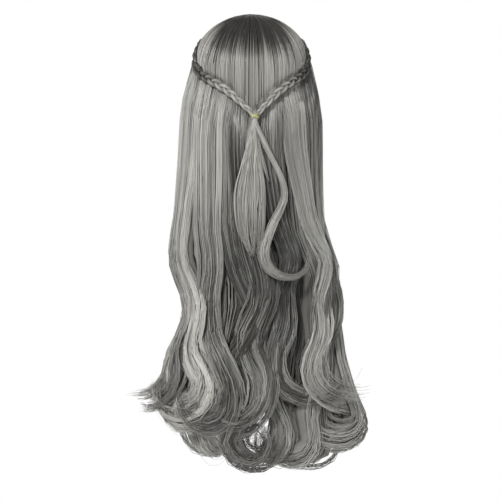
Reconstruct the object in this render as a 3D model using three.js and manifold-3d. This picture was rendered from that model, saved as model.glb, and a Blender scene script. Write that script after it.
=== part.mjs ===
// Half-up long wig: a cap, smooth crown hair, falls of waved locks, two braids, their tie and its tail.
// Millimetres. +Z is up, +Y the way the wearer faces, +X the wearer's right. Origin: inside top of the cap.
// A turn is an angle round the head in degrees from the centre back, positive to the wearer's right.
import * as THREE from "three";
import { ParametricGeometry } from "three/addons/geometries/ParametricGeometry.js";
import { mergeVertices } from "three/addons/utils/BufferGeometryUtils.js";
import Module from "manifold-3d";

const wasm = await Module();
wasm.setup();

// Head that the cap fits
const HEAD_HALF_WIDTH = 75;
const HEAD_HALF_LENGTH = 95;
const HEAD_RISE = 70;
const NECK_DROP = 100;
const NECK_NARROWING = 0.1;

// Cap and the hair lying on it
const CAP_WALL = 1.5;
const CAP_RIM_BACK = -150;
const CAP_RIM_FRONT = -48;
const CROWN_DEPTH = 10.5;
const PARTING_DEPTH = 3;
const PARTING_HALF_TURN = 12;
const GAP = 0.4;
const CAP_SLICES = 26;
const CAP_STACKS = 4;
const CROWN_SLICES = 30;
const CROWN_STACKS = 5;

// Braids, from the temples to the tie near the centre back
const TIE_TURN = 3;
const TIE_Z = -140;
const TIE_HOLE = 5;
const TIE_WALL = 1.8;
const TIE_HEIGHT = 8;
const TIE_OUT = TIE_HOLE + TIE_WALL + 0.8;
const TEMPLE_TURN = 150;
const BRAID_STRAND = 1.5;
const BRAID_SWAY = 4.5;
const BRAID_PITCH = 45;
const BRAID_END = 3.8;
const BRAID_END_SIZE = 0.62;

// Course of a braid: its height at turns from the centre back round to the temple
const BRAID_COURSE = table(["turn", "z"], [
  [0, TIE_Z + 1],
  [13, -115.5],
  [32, -94.5],
  [54, -78.5],
  [67, -64],
  [76, -43],
  [90, -31],
  [TEMPLE_TURN, -28],
]);

// Levels shared by the waves of the long hair
const ROOT_TUCK = 16;
const SHOULDER_Z = -180;
const SWELL_Z = -340;
const PINCH_Z = -445;
const CURL_STEP = 41;

// Outline of the long hair, level by level: its sway to one side, half width and half depth
const CURTAIN = table(["z", "sway", "halfWidth", "halfDepth"], [
  [-15, 0, 62, 77],
  [-28, 0, 73, 91],
  [-40, 0, 80, 101],
  [-64, 0, 88, 107],
  [-90, -1, 96, 110],
  [-130, -1, 103, 111],
  [-220, -3, 105, 110],
  [-300, -5, 111, 110],
  [-345, 3, 121, 113],
  [-420, 13, 119, 108],
  [-480, 2, 125, 110],
  [-530, 3, 132, 112],
  [-650, 0, 124, 108],
]);

// Size of a lock along its length, as shares of its full width and thickness
const LOCK_SECTION = table(["along", "wide", "thick"], [
  [0, 1, 1],
  [0.25, 1, 0.85],
  [0.6, 0.9, 1],
  [0.85, 0.95, 1],
  [1, 0.4, 0.4],
]);

// Locks: turns at the shared levels and at the flick, height of the flick, then the curl that ends it.
// A positive curl winds to the wearer's right; lean tips it off the curtain, or under where negative.
// Out moves the lock off the curtain, and flare moves its flick out further.
const LOCK_COLUMNS = [
  "root", "shoulder", "swell", "pinch", "flick", "flickZ",
  "curl", "radius", "lean", "wide", "thick", "out", "flare",
];
const BACK_LOCKS = table(LOCK_COLUMNS, [
  [-58, -58, -61, -54, -30, -500, -200, 34, 0, 46, 20, 2, 0],
  [-38, -38, -29, -41, -17, -512, -225, 38, 0, 46, 20, 0, 0],
  [-20, -20, -12, -6, -13, -592, 240, 28, 0, 42, 20, -4, 0],
  [-3, -4, 3, -1, 5, -544, -128, 34, 0, 44, 18, 0, 0],
  [15, 14, 28, 13, 20, -502, 112, 52, 0, 40, 18, -1, 0],
  [28, 26, 24, 23, 34, -602, -78, 34, -80, 88, 28, -18, 0],
  [-46, -46, -48, -48, -42, -588, 78, 30, -75, 86, 28, -18, 0],
  [-12, -10, -14, -18, -24, -545, 50, 60, 0, 64, 24, -22, 0],
]);
const LEFT_LOCKS = table(LOCK_COLUMNS, [
  [-76, -80, -80, -72, -62, -496, -112, 36, 30, 46, 24, 2, 4],
  [-70, -74, -76, -74, -76, -484, 88, 52, 88, 36, 20, -2, 0],
  [-94, -94, -90, -80, -66, -545, 160, 34, -45, 58, 28, -2, 12],
  [-112, -110, -104, -108, -100, -526, 170, 34, 0, 48, 20, 0, 0],
  [-134, -126, -118, -122, -114, -520, -190, 32, 0, 44, 18, 0, 0],
]);
const RIGHT_LOCKS = table(LOCK_COLUMNS, [
  [42, 46, 60, 43, 38, -458, 138, 58, 30, 42, 22, 6, 0],
  [62, 66, 74, 80, 76, -476, 72, 28, 85, 46, 26, 2, 0],
  [54, 56, 60, 58, 50, -588, -120, 40, -62, 82, 32, 0, 6],
  [82, 86, 90, 88, 76, -562, -155, 44, -65, 64, 34, 0, 28],
  [104, 106, 108, 104, 106, -550, -190, 34, 0, 48, 20, 0, 0],
  [130, 124, 118, 122, 114, -520, 190, 32, 0, 44, 18, 0, 0],
]);

// Tail: turns at its own levels below the tie, then the closing curl; neck is its share of the tie's hole
const TAIL_LEVELS = { waist: -176, belly: -248, hip: -294, flick: -326 };
const TAIL_LOCKS = table(["waist", "belly", "hip", "flick", "curl", "radius", "wide", "thick", "neck"], [
  [1, -7, -6, -2, 50, 16, 23, 9, 1],
  [3, 6.5, 6, 2.5, -50, 16, 25, 8, 0.85],
  [10, 28, 18, 10, 155, 35, 14, 9, 0.7],
]);

// Rows of a table as objects with named columns
function table(columns, rows) {
  return rows.map((row) => Object.fromEntries(columns.map((name, i) => [name, row[i]])));
}

// Value of one column of a table, read smoothly at a key between its rows
function smooth(rows, key, column, at) {
  const last = rows.length - 1;
  const way = Math.sign(rows[last][key] - rows[0][key]);
  let i = 0;
  while (i < last - 1 && way * (at - rows[i + 1][key]) > 0) {
    i += 1;
  }
  const slope = (k) => {
    const before = rows[Math.max(k - 1, 0)];
    const after = rows[Math.min(k + 1, last)];
    return (after[column] - before[column]) / (after[key] - before[key]);
  };
  const span = rows[i + 1][key] - rows[i][key];
  const t = THREE.MathUtils.clamp((at - rows[i][key]) / span, 0, 1);
  const blend = t * t * (3 - 2 * t);
  const start = span * slope(i) * t * (1 - t) * (1 - t);
  const end = span * slope(i + 1) * t * t * (t - 1);
  return THREE.MathUtils.lerp(rows[i][column], rows[i + 1][column], blend) + start + end;
}

// Welds a surface into a closed geometry with positions only and no collapsed triangles
function closed(geometry) {
  geometry.deleteAttribute("normal");
  geometry.deleteAttribute("uv");
  const welded = mergeVertices(geometry, 1e-3);
  const corners = welded.index.array;
  const kept = [];
  for (let i = 0; i < corners.length; i += 3) {
    const [a, b, c] = corners.slice(i, i + 3);
    if (a !== b && b !== c && c !== a) {
      kept.push(a, b, c);
    }
  }
  welded.setIndex(kept);
  return welded;
}

// Boolean solid of a closed geometry, and the way back
function solidOf(geometry) {
  return new wasm.Manifold(new wasm.Mesh({
    numProp: 3,
    vertProperties: new Float32Array(geometry.attributes.position.array),
    triVerts: new Uint32Array(geometry.index.array),
  }));
}

function geometryOf(solid) {
  const mesh = solid.getMesh();
  const geometry = new THREE.BufferGeometry();
  geometry.setAttribute("position", new THREE.BufferAttribute(mesh.vertProperties, 3));
  geometry.setIndex(new THREE.BufferAttribute(mesh.triVerts, 1));
  return geometry;
}

function fuse(solids) {
  return solids.reduce((whole, next) => whole.add(next));
}

function carve(solid, cutters) {
  return cutters.reduce((rest, cutter) => rest.subtract(cutter), solid);
}

// Largest body of a cut solid, without the crumbs that the cut leaves
function mainBody(solid) {
  const bodies = solid.decompose();
  return bodies.reduce((best, body) => (body.volume() > best.volume() ? body : best));
}

// Point on the head at a turn; reach is 0 at the crown and 1 at the widest level; lift is off the skin
function headPoint(turn, reach, lift) {
  const low = Math.max(0, reach - 1);
  const fall = Math.min(reach, 1) * Math.PI / 2;
  const spread = Math.sin(fall) - NECK_NARROWING * low * low;
  const angle = THREE.MathUtils.degToRad(turn);
  return new THREE.Vector3(
    (HEAD_HALF_WIDTH + lift) * spread * Math.sin(angle),
    -(HEAD_HALF_LENGTH + lift) * spread * Math.cos(angle),
    (HEAD_RISE + lift) * Math.cos(fall) - HEAD_RISE - NECK_DROP * low,
  );
}

function reachOf(z, lift) {
  const above = z + HEAD_RISE;
  if (above < 0) {
    return 1 - above / NECK_DROP;
  }
  return Math.acos(Math.min(1, above / (HEAD_RISE + lift))) / (Math.PI / 2);
}

// Solid that fills the head up to a lift and down to an edge line; its rim goes in through the given lifts
function headPlug(liftAt, rimLifts, edge, slices, stacks) {
  const rows = stacks + rimLifts.length + 1;
  const surface = (u, v, target) => {
    const row = Math.round(v * rows);
    const turn = 180 - 360 * u;
    const level = edge(turn);
    const lift = row > stacks ? rimLifts[row - stacks - 1] : liftAt(turn);
    if (row === rows) {
      target.set(0, 0, edge(90));
    } else {
      target.copy(headPoint(turn, Math.min(1, row / stacks) * reachOf(level, lift), lift));
    }
  };
  return solidOf(closed(new ParametricGeometry(surface, slices, rows)));
}

// Heights of the cap's rim and of the line that the braids follow
function capRim(turn) {
  const share = (1 + Math.cos(THREE.MathUtils.degToRad(turn))) / 2;
  return THREE.MathUtils.lerp(CAP_RIM_FRONT, CAP_RIM_BACK, share);
}

function braidLine(turn) {
  return smooth(BRAID_COURSE, "turn", "z", Math.min(Math.abs(turn), TEMPLE_TURN));
}

function hairline(turn) {
  const share = THREE.MathUtils.smoothstep(Math.abs(turn), TEMPLE_TURN, 180);
  return THREE.MathUtils.lerp(braidLine(turn), CAP_RIM_FRONT, share);
}

// Point on the outline of the long hair
function curtainPoint(turn, out, z) {
  const angle = THREE.MathUtils.degToRad(turn);
  return new THREE.Vector3(
    smooth(CURTAIN, "z", "sway", z) + (smooth(CURTAIN, "z", "halfWidth", z) + out) * Math.sin(angle),
    -(smooth(CURTAIN, "z", "halfDepth", z) + out) * Math.cos(angle),
    z,
  );
}

function outward(turn) {
  const angle = THREE.MathUtils.degToRad(turn);
  return new THREE.Vector3(Math.sin(angle), -Math.cos(angle), 0);
}

// Frame of a section: its middle, the way along, across and off the surface
function sectionFrame(at, along, off) {
  const across = new THREE.Vector3().crossVectors(off, along).normalize();
  return { at, along, across, off: new THREE.Vector3().crossVectors(along, across) };
}

// Frames down a lock through its stations, then round the curl that ends it
function lockFrames(stations, curl, radius, lean, steps) {
  const curlSteps = Math.ceil(Math.abs(curl) / CURL_STEP);
  const top = stations[0].z;
  const foot = stations[stations.length - 1].z;
  const read = (z) => {
    const turn = smooth(stations, "z", "turn", z);
    return { turn, at: curtainPoint(turn, smooth(stations, "z", "out", z), z) };
  };
  const frames = [];
  for (let i = 0; i <= steps; i += 1) {
    const z = THREE.MathUtils.lerp(top, foot, i / steps);
    const { turn, at } = read(z);
    const along = read(z - 1).at.sub(read(z + 1).at).normalize();
    frames.push(sectionFrame(at, along, outward(turn)));
  }
  const flick = frames[steps];
  const tip = THREE.MathUtils.degToRad(lean);
  const side = flick.across.clone().multiplyScalar(Math.sign(curl) * Math.cos(tip));
  side.addScaledVector(flick.off, Math.sin(tip));
  const axis = new THREE.Vector3().crossVectors(flick.along, side).normalize();
  for (let i = 1; i <= curlSteps; i += 1) {
    const swing = THREE.MathUtils.degToRad(Math.abs(curl)) * i / curlSteps;
    const at = flick.at.clone().addScaledVector(flick.along, radius * Math.sin(swing));
    at.addScaledVector(side, radius * (1 - Math.cos(swing)));
    const along = flick.along.clone().applyAxisAngle(axis, swing);
    frames.push({
      at,
      along,
      across: flick.across.clone().applyAxisAngle(axis, swing),
      off: flick.off.clone().applyAxisAngle(axis, swing),
    });
  }
  return frames;
}

// Closed solid through section frames, each with its half width and half thickness
function sweep(frames, sides, grow = 0) {
  const last = frames.length - 1;
  const surface = (u, v, target) => {
    const row = Math.round(v * (last + 2));
    const frame = frames[THREE.MathUtils.clamp(row - 1, 0, last)];
    const open = row > 0 && row < last + 2 ? 1 : 0;
    const angle = 2 * Math.PI * u;
    target.copy(frame.at);
    target.addScaledVector(frame.across, open * (frame.halfWide + grow) * Math.cos(angle));
    target.addScaledVector(frame.off, open * (frame.halfThick + grow) * Math.sin(angle));
  };
  return closed(new ParametricGeometry(surface, sides, last + 2));
}

// One lock of the long hair
function lock(row, grow = 0) {
  const stations = [
    { z: braidLine(row.root) + ROOT_TUCK, turn: row.root, out: 0 },
    { z: SHOULDER_Z, turn: row.shoulder, out: Math.min(0, row.out) },
    { z: SWELL_Z, turn: row.swell, out: row.out },
    { z: PINCH_Z, turn: row.pinch, out: row.out },
    { z: row.flickZ, turn: row.flick, out: row.out + row.flare },
  ];
  const frames = lockFrames(stations, row.curl, row.radius, row.lean, 8);
  frames.forEach((frame, i) => {
    const along = i / (frames.length - 1);
    frame.halfWide = row.wide / 2 * smooth(LOCK_SECTION, "along", "wide", along);
    frame.halfThick = row.thick / 2 * smooth(LOCK_SECTION, "along", "thick", along);
    frame.at.addScaledVector(frame.off, -frame.halfThick);
  });
  return solidOf(sweep(frames, 6, grow));
}

// One lock of the tail, gathered in the tie and laid on the back hair
function tailLock(row, grow = 0) {
  const neck = (TIE_HOLE - 3 * GAP) * row.neck;
  const rest = row.thick / 2 - 1;
  const stations = [
    { z: TIE_Z + TIE_HEIGHT, turn: TIE_TURN, out: TIE_OUT },
    { z: TIE_Z - TIE_HEIGHT, turn: TIE_TURN, out: TIE_OUT },
    { z: TAIL_LEVELS.waist, turn: row.waist, out: rest },
    { z: TAIL_LEVELS.belly, turn: row.belly, out: rest },
    { z: TAIL_LEVELS.hip, turn: row.hip, out: rest },
    { z: TAIL_LEVELS.flick, turn: row.flick, out: rest },
  ];
  const frames = lockFrames(stations, row.curl, row.radius, 0, 11);
  frames.forEach((frame, i) => {
    const spread = THREE.MathUtils.smoothstep(TIE_Z - TIE_HEIGHT - frame.at.z, 0, 60);
    const fade = 1 - 0.85 * THREE.MathUtils.smoothstep(i / (frames.length - 1), 0.75, 1);
    frame.halfWide = THREE.MathUtils.lerp(neck, row.wide / 2, spread) * fade;
    frame.halfThick = THREE.MathUtils.lerp(neck, row.thick / 2, spread) * fade;
  });
  return solidOf(sweep(frames, 6, grow));
}

// Turns that share a braid's course out evenly along its length
function evenRounds(lift) {
  const steps = 48;
  const rounds = Array.from({ length: steps + 1 }, (_, i) => (
    THREE.MathUtils.lerp(TEMPLE_TURN, BRAID_END, i / steps)));
  const places = rounds.map((round) => headPoint(round, reachOf(braidLine(round), lift), lift));
  const lengths = [0];
  for (let i = 1; i <= steps; i += 1) {
    lengths.push(lengths[i - 1] + places[i].distanceTo(places[i - 1]));
  }
  return rounds.map((round, i) => ({ along: lengths[i] / lengths[steps], round }));
}

// Middle line of a braid, from the temple to its end above the tie; side is -1 left, 1 right
function braidFrames(side, steps, spare = 0) {
  const lift = CAP_WALL + GAP + CROWN_DEPTH + BRAID_STRAND;
  const rounds = evenRounds(lift);
  const read = (share) => {
    const past = share - THREE.MathUtils.clamp(share, 0, 1);
    const round = smooth(rounds, "along", "round", share) + past * (BRAID_END - TEMPLE_TURN);
    const turn = side * round + TIE_TURN * THREE.MathUtils.smoothstep(share, 0.5, 1);
    const z = braidLine(round);
    const head = headPoint(turn, reachOf(z, lift), lift);
    const rise = THREE.MathUtils.smoothstep(share, 0.85, 1);
    const puff = curtainPoint(turn, THREE.MathUtils.lerp(BRAID_STRAND, TIE_OUT, rise), z);
    return { turn, at: head.lerp(puff, THREE.MathUtils.smoothstep(90 - round, 10, 85)) };
  };
  const frames = [];
  for (let i = 0; i <= steps; i += 1) {
    const share = THREE.MathUtils.lerp(-spare, 1 + spare, i / steps);
    const { turn, at } = read(share);
    const along = read(share + 0.001).at.sub(read(share - 0.001).at).normalize();
    const size = 1 - (1 - BRAID_END_SIZE) * THREE.MathUtils.smoothstep(share, 0.7, 1);
    frames.push({ ...sectionFrame(at, along, outward(turn)), size });
  }
  return frames;
}

function lengthOf(frames) {
  return frames.slice(1).reduce((sum, frame, i) => sum + frame.at.distanceTo(frames[i].at), 0);
}

// One of the three strands of a braid, swaying across and dipping under in turn
function braidStrand(side, strand) {
  const turns = Math.round(lengthOf(braidFrames(side, 60)) / BRAID_PITCH);
  const steps = 6 * turns;
  const frames = braidFrames(side, steps);
  const places = frames.map((frame, i) => {
    const phase = 2 * Math.PI * (i / 6 + 1 / 12 + strand / 3);
    const at = frame.at.clone().addScaledVector(frame.across, frame.size * BRAID_SWAY * Math.sin(phase));
    return at.addScaledVector(frame.off, frame.size * BRAID_SWAY / 2 * Math.sin(2 * phase));
  });
  const woven = places.map((at, i) => {
    const before = places[Math.max(i - 1, 0)];
    const after = places[Math.min(i + 1, steps)];
    const along = after.clone().sub(before).normalize();
    const section = sectionFrame(at, along, frames[i].off);
    const half = frames[i].size * BRAID_STRAND;
    return { ...section, halfWide: half, halfThick: half };
  });
  return sweep(woven, 5);
}

// Groove that a braid presses into the hair
function braidGroove(side) {
  const frames = braidFrames(side, 20, 0.015);
  frames.forEach((frame) => {
    frame.halfWide = frame.size * (BRAID_SWAY + BRAID_STRAND) + 2 * GAP;
    frame.halfThick = frame.size * (BRAID_SWAY / 2 + BRAID_STRAND) + 2 * GAP;
  });
  return solidOf(sweep(frames, 6));
}

// Elastic tie: three wound turns read as ridges on one ring
function tie() {
  const profile = [new THREE.Vector2(TIE_HOLE, -TIE_HEIGHT / 2)];
  for (let i = 0; i <= 9; i += 1) {
    const ridge = TIE_WALL * (0.55 + 0.45 * Math.abs(Math.sin(Math.PI * i / 3)));
    profile.push(new THREE.Vector2(TIE_HOLE + ridge, TIE_HEIGHT * (i / 9 - 0.5)));
  }
  profile.push(new THREE.Vector2(TIE_HOLE, TIE_HEIGHT / 2));
  profile.push(profile[0].clone());
  const ring = closed(new THREE.LatheGeometry(profile, 10));
  return ring.rotateX(Math.PI / 2);
}

// Finishes
const HAIR = { color: 0x8b8983, roughness: 0.5, metalness: 0 };
const FINISH = {
  cap: { color: 0x4a4946, roughness: 0.9, metalness: 0 },
  crown: { color: 0x83827d, roughness: 0.45, metalness: 0 },
  braid: { color: 0x767570, roughness: 0.5, metalness: 0 },
  tail: { color: 0x989690, roughness: 0.5, metalness: 0 },
  tie: { color: 0xa5a47c, roughness: 0.6, metalness: 0 },
};

const wig = new THREE.Group();

function place(name, geometry, finish) {
  const mesh = new THREE.Mesh(geometry, new THREE.MeshStandardMaterial(finish));
  mesh.name = name;
  wig.add(mesh);
  return mesh;
}

// Cap, a thin wall round the head
const crownFoot = CAP_WALL + GAP;
const skull = headPlug(() => 0, [-10], (turn) => capRim(turn) - 5, CAP_SLICES, CAP_STACKS);
const capBlank = headPlug(() => CAP_WALL, [-10], capRim, CAP_SLICES, CAP_STACKS);
place("cap", geometryOf(capBlank.subtract(skull)), FINISH.cap);

// Crown hair, creased along the parting from the crown to the forehead
const crownLift = (turn) => {
  const near = Math.max(0, 1 - (180 - Math.abs(turn)) / PARTING_HALF_TURN);
  return crownFoot + CROWN_DEPTH - PARTING_DEPTH * near;
};
const grooves = [braidGroove(-1), braidGroove(1)];
const clearOfCap = headPlug(() => crownFoot, [-10], (turn) => capRim(turn) - GAP, CAP_SLICES, CAP_STACKS);
const crown = headPlug(crownLift, [-5], hairline, CROWN_SLICES, CROWN_STACKS);
place("crown_hair", geometryOf(carve(crown, [clearOfCap, ...grooves])), FINISH.crown);

// Long hair, trimmed to the cap and to the line of the braids
const rims = [crownLift(0), -5, -40];
const above = headPlug(() => 40, rims, (turn) => hairline(turn) - GAP, CROWN_SLICES, CROWN_STACKS);
const tailCutters = TAIL_LOCKS.map((row) => tailLock(row, GAP));
const backCutters = BACK_LOCKS.map((row) => lock(row, GAP));

const trim = [clearOfCap, above, ...grooves];

const back = carve(fuse(BACK_LOCKS.map((row) => lock(row))), [...trim, ...tailCutters]);
place("back_hair", geometryOf(mainBody(back)), HAIR);

const left = carve(fuse(LEFT_LOCKS.map((row) => lock(row))), [...trim, ...backCutters]);
place("side_hair_left", geometryOf(mainBody(left)), HAIR);

const right = carve(fuse(RIGHT_LOCKS.map((row) => lock(row))), [...trim, ...backCutters]);
place("side_hair_right", geometryOf(mainBody(right)), HAIR);

// Braids
for (const [name, side] of [["left", -1], ["right", 1]]) {
  for (const strand of [0, 1, 2]) {
    place(`braid_${name}_strand_${strand + 1}`, braidStrand(side, strand), FINISH.braid);
  }
}

// Tie and tail
place("hair_tie", tie(), FINISH.tie).position.copy(curtainPoint(TIE_TURN, TIE_OUT, TIE_Z));
place("tail", geometryOf(mainBody(fuse(TAIL_LOCKS.map((row) => tailLock(row))))), FINISH.tail);

export default wig;
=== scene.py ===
import math
import bpy
import numpy as np
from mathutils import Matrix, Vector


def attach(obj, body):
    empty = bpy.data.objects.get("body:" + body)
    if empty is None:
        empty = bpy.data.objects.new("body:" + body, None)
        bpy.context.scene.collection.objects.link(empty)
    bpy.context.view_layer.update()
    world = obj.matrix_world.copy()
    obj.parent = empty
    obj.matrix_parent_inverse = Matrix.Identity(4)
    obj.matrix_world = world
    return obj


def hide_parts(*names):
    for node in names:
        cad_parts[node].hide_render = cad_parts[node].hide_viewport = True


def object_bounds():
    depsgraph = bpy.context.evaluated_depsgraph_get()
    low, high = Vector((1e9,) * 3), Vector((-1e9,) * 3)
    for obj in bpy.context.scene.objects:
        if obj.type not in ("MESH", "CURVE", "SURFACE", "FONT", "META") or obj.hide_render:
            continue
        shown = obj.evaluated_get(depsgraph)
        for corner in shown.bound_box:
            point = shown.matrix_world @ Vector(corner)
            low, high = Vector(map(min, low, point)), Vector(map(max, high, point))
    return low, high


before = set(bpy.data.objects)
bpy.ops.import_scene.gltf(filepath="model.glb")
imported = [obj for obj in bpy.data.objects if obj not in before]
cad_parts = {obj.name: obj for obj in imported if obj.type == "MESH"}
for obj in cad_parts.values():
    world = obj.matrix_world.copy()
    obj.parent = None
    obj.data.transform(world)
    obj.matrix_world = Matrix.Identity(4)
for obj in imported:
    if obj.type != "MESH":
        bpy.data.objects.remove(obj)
cad_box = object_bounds()
chance = np.random.default_rng(11)

# The set: a pale floor far below the hanging hair and white all round it.
# The camera looks square at the back of the wig, a key lamp on its left and a weak fill on its right.
# Three soft lamps light the edges from the left, the right and the front.
FLOOR_Z = -1.3
FLOOR_SIZE = 8.0
ROOM_GLOW = 0.13
CAMERA_AT = (-0.0022, -4.0, -0.3288)
CAMERA_LENS = 198.6
LAMPS = (
    # name, place, turn in degrees, size, watts
    ("key_lamp", (-1.1, -2.7, 1.1), (62, 0, -22), 0.7, 100.0),
    ("fill_lamp", (1.4, -3.0, -0.1), (86, 0, 25), 1.0, 24.0),
    ("left_lamp", (-2.4, 0.2, 0.1), (80, 0, -95), 1.2, 27.0),
    ("right_lamp", (2.4, 0.3, 0.1), (80, 0, 97), 1.2, 16.0),
    ("front_lamp", (0.0, 2.6, 0.1), (-86, 0, 0), 1.2, 16.0),
)

bpy.ops.mesh.primitive_plane_add(size=FLOOR_SIZE, location=(0, 0, FLOOR_Z))
floor = bpy.context.object
floor.name = "floor"
floor_paint = bpy.data.materials.new("pale_floor")
floor_paint.use_nodes = True
floor_tree = floor_paint.node_tree
floor_shader = floor_tree.nodes["Principled BSDF"]
floor_shader.inputs["Roughness"].default_value = 0.9
floor_noise = floor_tree.nodes.new("ShaderNodeTexNoise")
floor_noise.inputs["Scale"].default_value = 3.0
floor_place = floor_tree.nodes.new("ShaderNodeTexCoord")
floor_ramp = floor_tree.nodes.new("ShaderNodeValToRGB")
floor_ramp.color_ramp.elements[0].color = (0.90, 0.90, 0.89, 1)
floor_ramp.color_ramp.elements[1].color = (0.95, 0.95, 0.94, 1)
floor_tree.links.new(floor_place.outputs["Object"], floor_noise.inputs["Vector"])
floor_tree.links.new(floor_noise.outputs["Fac"], floor_ramp.inputs["Fac"])
floor_tree.links.new(floor_ramp.outputs["Color"], floor_shader.inputs["Base Color"])
floor.data.materials.append(floor_paint)

for lamp_name, place, turn, size, watts in LAMPS:
    turned = tuple(math.radians(angle) for angle in turn)
    bpy.ops.object.light_add(type="AREA", location=place, rotation=turned)
    lamp = bpy.context.object
    lamp.name = lamp_name
    lamp.data.size = size
    lamp.data.energy = watts

world = bpy.data.worlds.new("white_room")
bpy.context.scene.world = world
world.use_nodes = True
sky = world.node_tree
room_light = sky.nodes["Background"]
room_light.inputs["Color"].default_value = (1.0, 1.0, 1.0, 1)
room_light.inputs["Strength"].default_value = ROOM_GLOW
seen_white = sky.nodes.new("ShaderNodeBackground")
seen_white.inputs["Color"].default_value = (1.0, 1.0, 1.0, 1)
seen_white.inputs["Strength"].default_value = 1.0
ray_kind = sky.nodes.new("ShaderNodeLightPath")
room_mix = sky.nodes.new("ShaderNodeMixShader")
sky.links.new(ray_kind.outputs["Is Camera Ray"], room_mix.inputs["Fac"])
sky.links.new(room_light.outputs["Background"], room_mix.inputs[1])
sky.links.new(seen_white.outputs["Background"], room_mix.inputs[2])
sky.links.new(room_mix.outputs["Shader"], sky.nodes["World Output"].inputs["Surface"])

bpy.ops.object.camera_add(location=CAMERA_AT, rotation=(math.radians(90), 0, 0))
camera = bpy.context.object
camera.name = "photo_camera"
camera.data.sensor_width = 36.0
camera.data.lens = CAMERA_LENS
camera.data.clip_end = 60.0
bpy.context.scene.camera = camera
bpy.context.scene.view_settings.view_transform = "Standard"

# Cap: a thin stretch-net dome with machine-sewn wefts, hidden under all the hair.
# It follows an adult head, cut up over the face and down to the nape.
# The net is knitted in one piece and the wefts are sewn round it in rows.
HEAD_HALF_WIDTH = 0.075
HEAD_HALF_LENGTH = 0.095
HEAD_RISE = 0.070
NECK_DROP = 0.100
NECK_NARROWING = 0.1
CAP_WALL = 0.0015
CAP_RIM_BACK = -0.150
CAP_RIM_FRONT = -0.048
CAP_COLUMNS = 72
CAP_ROWS = 28
CAP_WELD = 0.0002
NET_WEFTS = 60.0
NET_HOLES = 420.0


def head_point(turn, reach, lift):
    """A point on the head: turn in degrees from the back, reach 0 at the crown and 1 at the temples."""
    low = np.maximum(0.0, reach - 1.0)
    fall = np.minimum(reach, 1.0) * np.pi / 2
    spread = np.sin(fall) - NECK_NARROWING * low ** 2
    angle = np.radians(turn)
    x = (HEAD_HALF_WIDTH + lift) * spread * np.sin(angle)
    y = -(HEAD_HALF_LENGTH + lift) * spread * np.cos(angle)
    z = (HEAD_RISE + lift) * np.cos(fall) - HEAD_RISE - NECK_DROP * low
    return np.stack(np.broadcast_arrays(x, y, z), axis=-1)


def reach_of(z, lift):
    """How far down the head a height lies."""
    above = np.clip((z + HEAD_RISE) / (HEAD_RISE + lift), 0.0, 1.0)
    below = 1.0 - (z + HEAD_RISE) / NECK_DROP
    return np.where(z + HEAD_RISE < 0, below, np.arccos(above) / (np.pi / 2))


def cap_rim(turn):
    """Height of the cap's edge round the head."""
    share = (1 + np.cos(np.radians(turn))) / 2
    return CAP_RIM_FRONT + (CAP_RIM_BACK - CAP_RIM_FRONT) * share


def belongs(piece, slot, *nodes):
    """The piece moves with the wig and stands for these solids."""
    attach(piece, "root")
    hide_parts(*nodes)


bpy.ops.mesh.primitive_grid_add(x_subdivisions=CAP_COLUMNS, y_subdivisions=CAP_ROWS, size=2)
cap = bpy.context.object
cap.name = "cap_net"
flat = np.empty(len(cap.data.vertices) * 3)
cap.data.vertices.foreach_get("co", flat)
flat = flat.reshape(-1, 3)
cap_turn = flat[:, 0] * 180
cap_reach = (flat[:, 1] + 1) / 2 * reach_of(cap_rim(cap_turn), CAP_WALL)
cap.data.vertices.foreach_set("co", head_point(cap_turn, cap_reach, CAP_WALL).ravel())
cap.data.update()
bpy.ops.object.mode_set(mode="EDIT")
bpy.ops.mesh.select_all(action="SELECT")
bpy.ops.mesh.remove_doubles(threshold=CAP_WELD)
bpy.ops.mesh.normals_make_consistent(inside=False)
bpy.ops.object.mode_set(mode="OBJECT")
bpy.ops.object.modifier_add(type="SOLIDIFY")
cap.modifiers["Solidify"].thickness = CAP_WALL
bpy.ops.object.modifier_apply(modifier="Solidify")
bpy.ops.object.shade_smooth()

net = bpy.data.materials.new("cap_net")
net.use_nodes = True
net_tree = net.node_tree
net_shader = net_tree.nodes["Principled BSDF"]
net_shader.inputs["Roughness"].default_value = 0.85
net_place = net_tree.nodes.new("ShaderNodeTexCoord")
net_rows = net_tree.nodes.new("ShaderNodeTexWave")
net_rows.bands_direction = "Z"
net_rows.inputs["Scale"].default_value = NET_WEFTS
net_rows.inputs["Distortion"].default_value = 0.6
net_holes = net_tree.nodes.new("ShaderNodeTexVoronoi")
net_holes.inputs["Scale"].default_value = NET_HOLES
net_blend = net_tree.nodes.new("ShaderNodeMath")
net_blend.operation = "MULTIPLY"
net_ramp = net_tree.nodes.new("ShaderNodeValToRGB")
net_ramp.color_ramp.elements[0].color = (0.030, 0.029, 0.027, 1)
net_ramp.color_ramp.elements[1].color = (0.120, 0.115, 0.105, 1)
net_bump = net_tree.nodes.new("ShaderNodeBump")
net_bump.inputs["Strength"].default_value = 0.5
net_bump.inputs["Distance"].default_value = 0.001
net_tree.links.new(net_place.outputs["Object"], net_rows.inputs["Vector"])
net_tree.links.new(net_place.outputs["Object"], net_holes.inputs["Vector"])
net_tree.links.new(net_rows.outputs["Fac"], net_blend.inputs[0])
net_tree.links.new(net_holes.outputs["Distance"], net_blend.inputs[1])
net_tree.links.new(net_blend.outputs["Value"], net_ramp.inputs["Fac"])
net_tree.links.new(net_ramp.outputs["Color"], net_shader.inputs["Base Color"])
net_tree.links.new(net_blend.outputs["Value"], net_bump.inputs["Height"])
net_tree.links.new(net_bump.outputs["Normal"], net_shader.inputs["Normal"])
cap.data.materials.append(net)
belongs(cap, "cap_net", "cap")

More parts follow.
